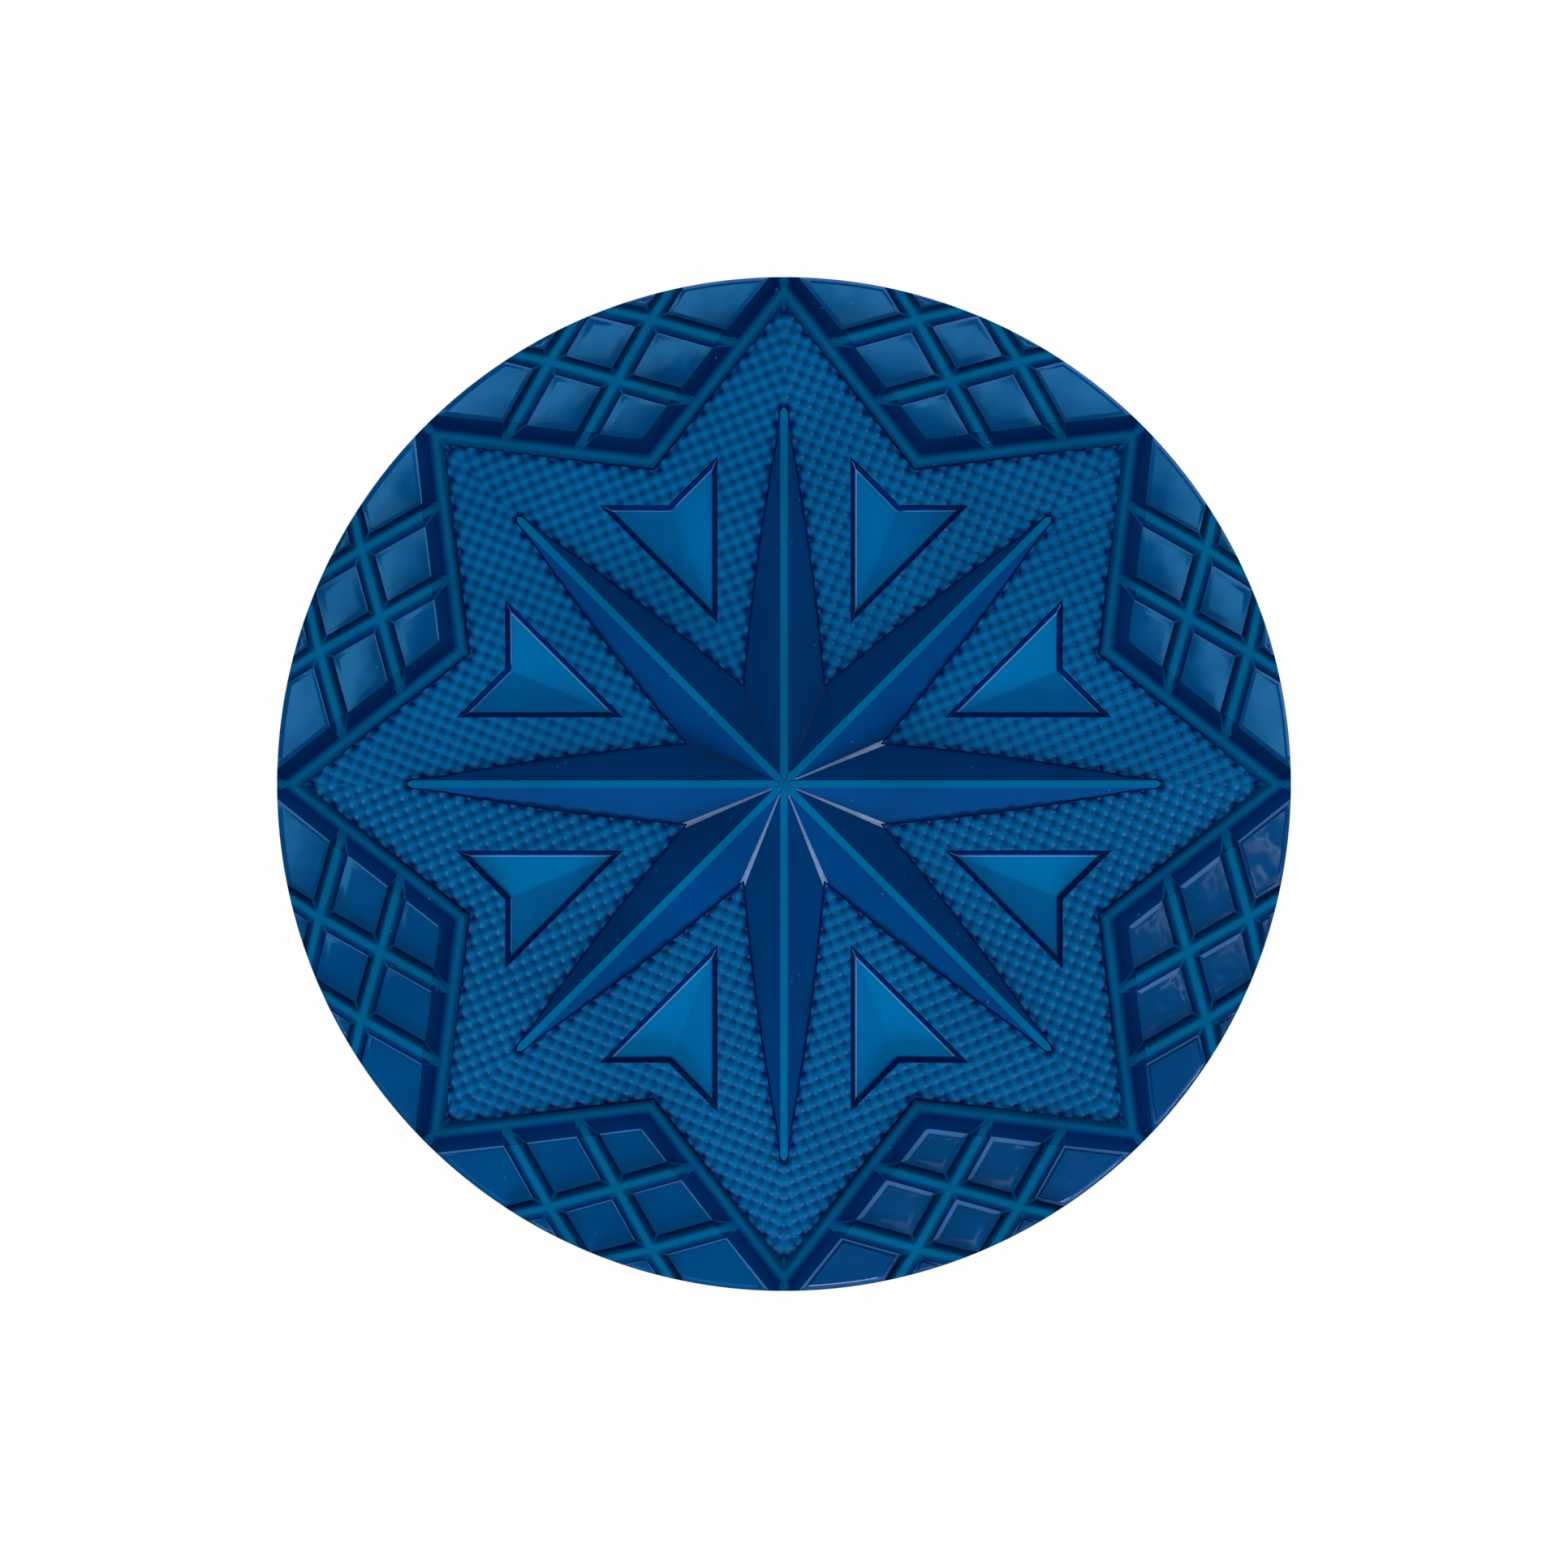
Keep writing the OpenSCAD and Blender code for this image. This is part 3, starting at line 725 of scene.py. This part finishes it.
def makeField():
    corner = makeBeadCorner()
    seams = [outward(math.pi / 2), outward(stepAngle + math.pi / 2)]

    def offSeam(vert, way):
        return abs((vert.co - middle).dot(way))
    cut = [f for f in corner.faces
           if any(all(offSeam(v, way) < beadSizes["seamBand"] for v in f.verts) for way in seams)]
    bmesh.ops.delete(corner, geom=cut, context="FACES")
    under = [v for v in corner.verts if v.co.y > plateFront - mesher["merge"]
             and min(offSeam(v, way) for way in seams) > beadSizes["pitch"]]
    inner = set(under)
    bmesh.ops.dissolve_limit(corner, angle_limit=mesher["flatAngle"], use_dissolve_boundaries=False,
                             verts=under, edges=[e for e in corner.edges if inner.issuperset(e.verts)],
                             delimit=set())
    mesh = bpy.data.meshes.new("beadCorner")
    corner.to_mesh(mesh)
    corner.free()
    bm = bmesh.new()
    for i in range(points):
        first = len(bm.verts)
        bm.from_mesh(mesh)
        bm.verts.ensure_lookup_table()
        bmesh.ops.rotate(bm, cent=middle, matrix=Matrix.Rotation(i * stepAngle, 3, "Y"),
                         verts=bm.verts[first:])
    bpy.data.meshes.remove(mesh)
    bmesh.ops.remove_doubles(bm, verts=bm.verts, dist=beadSizes["seamMerge"])
    bm.normal_update()
    bm.verts.index_update()
    walls = BVHTree.FromPolygons([v.co.copy() for v in bm.verts],
                                 [[v.index for v in f.verts] for f in shadedWalls(bm)])
    # Painted shade: bead tops light, valleys dark, and darker still near the walls
    tone = bm.loops.layers.float_color.new("paintedShade")
    for vert in bm.verts:
        rise = min(1, max(0, (fieldTop - vert.co.y) / beadSizes["height"]))
        near = max(0, 1 - walls.find_nearest(vert.co)[3] / beadSizes["wallShadeReach"])
        shade = beadSizes["valleyShade"] + (1 - beadSizes["valleyShade"]) * rise - near * (1 - rise ** 2)
        shade = min(1, max(0, shade))
        for loop in vert.link_loops:
            loop[tone] = (shade, shade, shade, 1)
    return makePiece(bm, "starField", [fieldGlass], "medallion", ["star_field"])


starField = makeField()
print("star field made:", len(starField.data.polygons), "faces")

# Star rays: a flat spine on each, and a level bright line where two rays meet
raySizes = {"spineRound": 0.12 * mm, "spineSegments": 2, "joinWidth": 0.33 * mm, "joinLift": 0.16 * mm,
            "joinGap": 0.05 * mm, "joinReach": 15.4 * mm, "hub": 0.3 * mm, "tipTaper": 4 * mm,
            "tipBlunt": 2.2 * mm, "tipLength": 18 * mm, "tipLift": 0.75 * mm, "spineFacing": -0.8,
            "joinFacing": -0.5, "joinNear": 1.2, "creaseAngle": math.radians(8)}


def makeRay(i):
    bm = copyNode(f"star_ray_{i + 1}")
    along = outward(i * stepAngle)
    tip = max((v.co - middle).dot(along) for v in bm.verts)
    for vert in bm.verts:
        toTip = tip - (vert.co - middle).dot(along)
        if vert.co.y < plateFront - mesher["foot"] and toTip < raySizes["tipLength"]:
            vert.co.y -= raySizes["tipLift"] * (1 - toTip / raySizes["tipLength"])
            if mesher["merge"] < toTip < raySizes["tipTaper"]:
                vert.co += along * raySizes["tipBlunt"]
    bm.normal_update()
    spine = softEdges(bm, lambda e: all(f.normal.y < raySizes["spineFacing"] for f in e.link_faces))
    bmesh.ops.bevel(bm, geom=spine, offset=raySizes["spineRound"], offset_type="OFFSET", profile=0.5,
                    segments=raySizes["spineSegments"], affect="EDGES", material=-1, clamp_overlap=False)
    joinEdge = -raySizes["joinNear"] * raySizes["joinGap"]
    for side in (-1, 1):
        wallTurn = i * stepAngle + side * (math.pi / 2 + stepAngle / 2)
        wall = outward(wallTurn)
        cut = outward(wallTurn - side * raySizes["joinWidth"] / raySizes["joinReach"])
        bmesh.ops.bisect_plane(bm, geom=bm.verts[:] + bm.edges[:] + bm.faces[:], dist=mesher["merge"],
                               plane_co=middle - wall * raySizes["joinGap"], plane_no=cut)
        bm.normal_update()
        for face in bm.faces:
            low = min((v.co - middle).dot(cut) for v in face.verts)
            if face.normal.y < raySizes["joinFacing"] and low > joinEdge:
                face.material_index = 1
        for vert in bm.verts:
            if (vert.co - middle).dot(wall) > joinEdge:
                vert.co += wall * raySizes["joinGap"]
                if vert.co.y < plateFront - raySizes["joinLift"]:
                    vert.co.y -= raySizes["joinLift"] * fromMiddle(vert.co) / raySizes["joinReach"]
    for vert in bm.verts:
        if fromMiddle(vert.co) < raySizes["hub"]:
            vert.co.x, vert.co.z = middleX, middleZ
    return makePiece(inFixedOrder(bm), f"starRay{i + 1}", [rayGlass, joinGlass], "medallion",
                     [f"star_ray_{i + 1}"], raySizes["creaseAngle"])


for rayIndex in range(points):
    makeRay(rayIndex)
print("star rays made")

# Arrowheads: sunk facets with soft edges, each facet with its own painted shade, as if lit from below
arrowSizes = {"wallSteep": 0.5, "round": 0.2 * mm, "segments": 3, "facetFacing": -0.97, "shadeReach": 0.26,
              "midShade": 0.5, "edgeShade": 0.3, "lipFacing": -0.75, "lipWay": Vector((0.35, 0, -0.94)),
              "lipReach": 0.1}


def makeArrow(i):
    bm = copyNode(f"arrow_inset_{i + 1}")
    edge = [v for v in bm.verts if v.co.y < fieldTop + mesher["merge"]]
    floor = [v for v in bm.verts if fieldTop + mesher["foot"] < v.co.y < plateFront - mesher["foot"]]
    for vert in floor:
        near = min(edge, key=lambda v: math.hypot(v.co.x - vert.co.x, v.co.z - vert.co.z))
        vert.co.x += (near.co.x - vert.co.x) * arrowSizes["wallSteep"]
        vert.co.z += (near.co.z - vert.co.z) * arrowSizes["wallSteep"]
    bm.normal_update()
    roundEdges(bm, softEdges(bm, inFront), arrowSizes["round"], arrowSizes["segments"])
    bm.normal_update()
    # Painted shade per facet: lighter where a facet tilts down, darker where it tilts up, as if lit from
    # below; walls painted dark
    tone = bm.loops.layers.float_color.new("paintedShade")
    for face in bm.faces:
        light = arrowSizes["edgeShade"]
        if face.normal.y < arrowSizes["facetFacing"]:
            light = min(1, max(0, arrowSizes["midShade"] - face.normal.z / arrowSizes["shadeReach"]))
        for loop in face.loops:
            loop[tone] = (light, light, light, 1)
        # Lip faces that face down and a little right get a painted highlight
        isLip = arrowSizes["facetFacing"] < face.normal.y < arrowSizes["lipFacing"]
        if isLip and face.normal.dot(arrowSizes["lipWay"]) > arrowSizes["lipReach"]:
            face.material_index = 1
    return makePiece(bm, f"arrowInset{i + 1}", [arrowGlass, lipHighlightGlass], "medallion",
                     [f"arrow_inset_{i + 1}"])


for arrowIndex in range(points):
    makeArrow(arrowIndex)
print("arrowheads made")

# Corners: raised ribs, and crowned panes between them that reach up to the ribs' slopes, with a painted
# highlight on one side of each pane's lip ring
cornerSizes = {"ribRound": 0.4 * mm, "ribSegments": 4, "paneSpread": 0.3 * mm, "paneRound": 0.16 * mm,
               "paneSegments": 3, "crownSteps": ((0.07, 0.05 * mm), (0.11, 0.05 * mm)), "crownFit": 0.5,
               "wavyCorners": (2, 3), "waveSteps": ((0.1, 0.13 * mm), (0.13, 0.1 * mm)),
               "topFacing": -0.999, "lipRise": 0.02 * mm,
               "evenLip": {"width": 0.4 * mm, "way": Vector((0.5, 0, 0.86)), "reach": 0.55},
               "wavyLip": {"width": 0.85 * mm, "way": Vector((-0.35, 0, 0.94)), "reach": 0.3}}


def makeLattice(i):
    bm = copyNode(f"corner_lattice_{i + 1}")
    spreadWalls(list(filter(isJoint, bm.faces)), mesher["touch"])
    bm.normal_update()
    roundEdges(bm, softEdges(bm, inFront), cornerSizes["ribRound"], cornerSizes["ribSegments"])
    finishRim(bm)
    return makePiece(bm, f"cornerLattice{i + 1}", [latticeGlass], "medallion",
                     [f"corner_lattice_{i + 1}"])


def insetRoom(face):
    # The widest inset that leaves every edge of the face some length
    return min(loop.edge.calc_length() / (1 / math.tan(loop.calc_angle() / 2)
                                          + 1 / math.tan(loop.link_loop_next.calc_angle() / 2))
               for loop in face.loops)


def makePanes(i):
    bm = copyNode(f"corner_panes_{i + 1}")
    spreadWalls(list(filter(isJoint, bm.faces)), cornerSizes["paneSpread"],
                lambda v: v.co.y < paneTop + mesher["merge"])
    bm.normal_update()
    draftRim(bm)
    bm.normal_update()
    wavy = i in cornerSizes["wavyCorners"]
    lip = cornerSizes["wavyLip" if wavy else "evenLip"]
    for top in [f for f in bm.faces if f.normal.y < cornerSizes["topFacing"]]:
        width = min(lip["width"], cornerSizes["crownFit"] * insetRoom(top))
        ring = bmesh.ops.inset_individual(bm, faces=[top], thickness=width, depth=cornerSizes["lipRise"],
                                          use_even_offset=True)
        # The side of the lip ring that faces the lip's way gets a painted highlight
        for face in ring["faces"]:
            if face is not top:
                face.normal_update()
                face.material_index = 1 if flatWay(face.normal).dot(lip["way"]) > lip["reach"] else 0
        for width, rise in cornerSizes["waveSteps" if wavy else "crownSteps"]:
            thickness = min(width * math.sqrt(top.calc_area()), cornerSizes["crownFit"] * insetRoom(top))
            bmesh.ops.inset_individual(bm, faces=[top], thickness=thickness, depth=rise,
                                       use_even_offset=True)
    brim = [e for e in softEdges(bm, isRaised) if any(map(isUpright, e.link_faces)) and not atRim(e)]
    roundEdges(bm, brim, cornerSizes["paneRound"], cornerSizes["paneSegments"])
    return makePiece(bm, f"cornerPanes{i + 1}", [waveGlass if wavy else paneGlass, brimHighlightGlass],
                     "medallion", [f"corner_panes_{i + 1}"])


for cornerIndex in range(points):
    makeLattice(cornerIndex)
    makePanes(cornerIndex)
print("corners made")

# Hanger: foam pad, steel strap and its ring, and four rubber bumpers
hangerSizes = {"padRound": 0.12 * mm, "strapRound": 0.1 * mm, "bumperRound": 0.2 * mm, "segments": 2,
               "sharpAngle": 1.0}


def makeFixed(node, name, material, width):
    bm = copyNode(node)
    sharp = softEdges(bm, lambda e: e.calc_face_angle() > hangerSizes["sharpAngle"])
    roundEdges(bm, sharp, width, hangerSizes["segments"])
    makePiece(bm, name, [material], "medallion", [node])


makeFixed("hanger_pad", "hangerPad", padFoam, hangerSizes["padRound"])
makeFixed("hanger_strap", "hangerStrap", hangerSteel, hangerSizes["strapRound"])
makePiece(copyNode("hanger_ring"), "hangerRing", [hangerSteel], "ring", ["hanger_ring"])
makeFixed("wall_bumpers", "wallBumpers", bumperRubber, hangerSizes["bumperRound"])
print("hanger made")

# Studio: pale floor, white surroundings, soft lamps around the camera and two behind
studio = {"floorDrop": 1.6, "floorReach": 6.0, "floorSegments": 96, "floorColor": (0.82, 0.82, 0.82, 1),
          "floorClear": 0.5, "floorWhite": 1.5, "backdropBand": (0.3, 0.9), "skyFill": 0.2,
          "frontFill": 0.05, "frameWidth": 0.2312, "lens": 100, "sensor": 36}


def makeFloor():
    bm = bmesh.new()
    bmesh.ops.create_circle(bm, cap_ends=True, segments=studio["floorSegments"],
                            radius=studio["floorReach"])
    bmesh.ops.translate(bm, verts=bm.verts, vec=(0, 0, middleZ - studio["floorDrop"]))
    mesh = bpy.data.meshes.new("studioFloor")
    bm.to_mesh(mesh)
    bm.free()
    floor = bpy.data.objects.new("studioFloor", mesh)
    bpy.context.scene.collection.objects.link(floor)
    material = bpy.data.materials.new("paleFloor")
    material.use_nodes = True
    tree = material.node_tree
    tree.nodes.clear()
    coord = addNode(tree, "ShaderNodeTexCoord", (-900, 0))
    away = addNode(tree, "ShaderNodeVectorMath", (-700, 0), operation="LENGTH")
    tree.links.new(coord.outputs["Object"], away.inputs[0])
    fade = mapRange(tree, (-500, 0), away.outputs["Value"], studio["floorClear"], studio["floorWhite"])
    rays = addNode(tree, "ShaderNodeLightPath", (-900, 300))
    seen = addNode(tree, "ShaderNodeMath", (-700, 300), operation="MAXIMUM")
    tree.links.new(rays.outputs["Is Camera Ray"], seen.inputs[0])
    tree.links.new(rays.outputs["Is Glossy Ray"], seen.inputs[1])
    seenAll = addNode(tree, "ShaderNodeMath", (-500, 300), operation="MAXIMUM")
    tree.links.new(seen.outputs[0], seenAll.inputs[0])
    tree.links.new(rays.outputs["Is Transmission Ray"], seenAll.inputs[1])
    white = addNode(tree, "ShaderNodeMath", (-300, 150), operation="MULTIPLY")
    tree.links.new(fade, white.inputs[0])
    tree.links.new(seenAll.outputs[0], white.inputs[1])
    matt = addNode(tree, "ShaderNodeBsdfDiffuse", (-300, -50))
    matt.inputs["Color"].default_value = studio["floorColor"]
    glow = addNode(tree, "ShaderNodeEmission", (-300, -200))
    mix = addNode(tree, "ShaderNodeMixShader", (-80, 0))
    tree.links.new(white.outputs[0], mix.inputs[0])
    tree.links.new(matt.outputs[0], mix.inputs[1])
    tree.links.new(glow.outputs[0], mix.inputs[2])
    out = addNode(tree, "ShaderNodeOutputMaterial", (120, 0))
    tree.links.new(mix.outputs[0], out.inputs["Surface"])
    mesh.materials.append(material)


def makeWorld():
    world = bpy.data.worlds.new("studioWorld")
    bpy.context.scene.world = world
    world.use_nodes = True
    tree = world.node_tree
    tree.nodes.clear()
    rays = addNode(tree, "ShaderNodeLightPath", (-900, 200))
    coord = addNode(tree, "ShaderNodeTexCoord", (-900, -100))
    split = addNode(tree, "ShaderNodeSeparateXYZ", (-700, -100))
    tree.links.new(coord.outputs["Generated"], split.inputs[0])
    behind = mapRange(tree, (-500, -100), split.outputs["Y"], *studio["backdropBand"])
    mirrored = addNode(tree, "ShaderNodeMath", (-500, 150), operation="MAXIMUM")
    tree.links.new(rays.outputs["Is Glossy Ray"], mirrored.inputs[0])
    tree.links.new(rays.outputs["Is Transmission Ray"], mirrored.inputs[1])
    backdrop = addNode(tree, "ShaderNodeMath", (-300, 50), operation="MULTIPLY")
    tree.links.new(mirrored.outputs[0], backdrop.inputs[0])
    tree.links.new(behind, backdrop.inputs[1])
    white = addNode(tree, "ShaderNodeMath", (-120, 150), operation="MAXIMUM")
    tree.links.new(rays.outputs["Is Camera Ray"], white.inputs[0])
    tree.links.new(backdrop.outputs[0], white.inputs[1])
    strength = addNode(tree, "ShaderNodeMix", (60, 100), data_type="FLOAT")
    tree.links.new(white.outputs[0], strength.inputs[0])
    fill = addNode(tree, "ShaderNodeMix", (-120, -60), data_type="FLOAT")
    tree.links.new(mirrored.outputs[0], fill.inputs[0])
    fill.inputs[2].default_value = studio["skyFill"]
    fill.inputs[3].default_value = studio["frontFill"]
    tree.links.new(fill.outputs[0], strength.inputs[2])
    strength.inputs[3].default_value = 1.0
    glow = addNode(tree, "ShaderNodeBackground", (260, 100))
    glow.inputs["Color"].default_value = (1, 1, 1, 1)
    tree.links.new(strength.outputs[0], glow.inputs["Strength"])
    out = addNode(tree, "ShaderNodeOutputWorld", (460, 100))
    tree.links.new(glow.outputs[0], out.inputs["Surface"])


# Lamps: degrees off the camera's line and around it from the right, metres, and brightness
lamps = {"underLight": {"offAxis": 74, "around": -90, "distance": 1.5, "size": (1.3, 0.5), "bright": 13},
         "overLight": {"offAxis": 70, "around": 90, "distance": 1.2, "size": (1.0, 0.4), "bright": 1.8,
                       "tint": (0.5, 0.75, 1)},
         "edgeLeft": {"offAxis": 33, "around": -135, "distance": 0.75, "size": (0.42, 0.06), "bright": 14},
         "edgeRight": {"offAxis": 33, "around": -45, "distance": 0.75, "size": (0.42, 0.06), "bright": 14},
         "edgeUpper": {"offAxis": 33, "around": 32, "distance": 0.75, "size": (0.24, 0.1), "bright": 8},
         "ringLight": {"offAxis": 13, "around": 15, "distance": 0.7, "size": (0.13, 0.05), "bright": 3.2,
                       "count": 4, "step": 50},
         "backLeft": {"offAxis": 135, "around": 130, "distance": 1.2, "size": (0.8, 0.5), "bright": 5.5},
         "backRight": {"offAxis": 135, "around": 50, "distance": 1.2, "size": (0.8, 0.5), "bright": 5.5}}


def makeLamp(name, settings, around):
    # A soft box that faces the middle of the medallion
    tilt = math.radians(settings["offAxis"])
    turn = math.radians(around)
    width, height = settings["size"]
    way = Vector((math.sin(tilt) * math.cos(turn), -math.cos(tilt), math.sin(tilt) * math.sin(turn)))
    sideways = Vector((-math.sin(turn), 0, math.cos(turn)))
    data = bpy.data.lights.new(name, "AREA")
    data.shape = "RECTANGLE"
    data.size = width
    data.size_y = height
    data.energy = math.pi * settings["bright"] * width * height
    data.color = settings.get("tint", (1, 1, 1))
    lamp = bpy.data.objects.new(name, data)
    lamp.location = Vector((middleX, fieldTop, middleZ)) + way * settings["distance"]
    lamp.rotation_mode = "QUATERNION"
    lamp.rotation_quaternion = Matrix((sideways, way.cross(sideways), way)).transposed().to_quaternion()
    bpy.context.scene.collection.objects.link(lamp)


def makeCamera():
    data = bpy.data.cameras.new("photoCamera")
    data.lens = studio["lens"]
    data.sensor_width = studio["sensor"]
    camera = bpy.data.objects.new("photoCamera", data)
    distance = studio["frameWidth"] * studio["lens"] / studio["sensor"]
    camera.location = (middleX, paneTop - distance, middleZ)
    camera.rotation_euler = (math.pi / 2, 0, 0)
    bpy.context.scene.collection.objects.link(camera)
    bpy.context.scene.camera = camera


makeFloor()
makeWorld()
for lampName, lampSettings in lamps.items():
    for lampIndex in range(lampSettings.get("count", 1)):
        around = lampSettings["around"] + lampIndex * lampSettings.get("step", 0)
        makeLamp(f"{lampName}{lampIndex + 1}" if "count" in lampSettings else lampName, lampSettings, around)
makeCamera()
bpy.context.scene.view_settings.view_transform = "Standard"
print("studio made")
